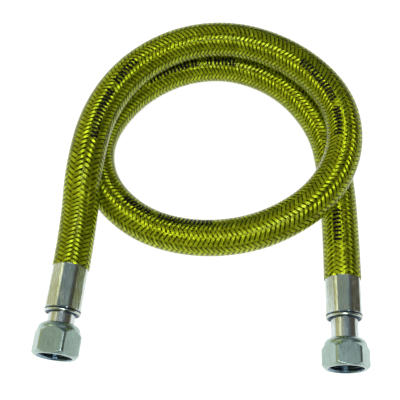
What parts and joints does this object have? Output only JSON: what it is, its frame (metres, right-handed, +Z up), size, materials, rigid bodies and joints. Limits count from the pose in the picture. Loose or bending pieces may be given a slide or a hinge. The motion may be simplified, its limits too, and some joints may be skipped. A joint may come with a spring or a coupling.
{
  "type": "gas hose with swivel nuts",
  "caption": "Flexible braided gas hose in a yellow-green jacket, coiled once, with a crimped ferrule and a hexagonal swivel nut on each end.",
  "frame": {"origin": "on the surface that the hose lies on, under the middle of the two end fittings", "axes": "+Z up; +X from fitting a to fitting b; the fittings point to -Y and the coil lies at +Y"},
  "size_m": [0.191, 0.2166, 0.0459],
  "materials": {
    "jacket": "glossy, tinted and see-through",
    "braid": "bright drawn wire",
    "liner": "smooth, black",
    "ferrule_steel": "polished",
    "tail_steel": "turned, bright",
    "plated_nut": "satin plated",
    "slip_ring": "smooth",
    "gasket": "matt"
  },
  "bodies": {
    "hose": {"hose_jacket": "jacket", "hose_braid": "braid", "hose_liner": "liner", "ferrule_a": "ferrule_steel", "hose_tail_a": "tail_steel", "gasket_a": "gasket", "ferrule_b": "ferrule_steel", "hose_tail_b": "tail_steel", "gasket_b": "gasket"},
    "slip_a": {"slip_ring_a": "slip_ring"},
    "nut_a": {"swivel_nut_a": "plated_nut"},
    "slip_b": {"slip_ring_b": "slip_ring"},
    "nut_b": {"swivel_nut_b": "plated_nut"}
  },
  "joints": [
    {"name": "nut_a_slide", "type": "slide", "parent": "hose", "child": "slip_a", "axis": [0.1112, 0.9934, 0.0297], "range_m": [0, 0.0058]},
    {"name": "nut_a_spin", "type": "hinge", "parent": "slip_a", "child": "nut_a", "pos_m": [-0.08007, -0.01521, 0.01573], "axis": [-0.1112, -0.9934, -0.0297], "continuous": true},
    {"name": "nut_b_slide", "type": "slide", "parent": "hose", "child": "slip_b", "axis": [0.0296, 0.9996, 0], "range_m": [0, 0.0115]},
    {"name": "nut_b_spin", "type": "hinge", "parent": "slip_b", "child": "nut_b", "pos_m": [0.0811, -0.02113, 0.012], "axis": [-0.0296, -0.9996, 0], "continuous": true}
  ]
}
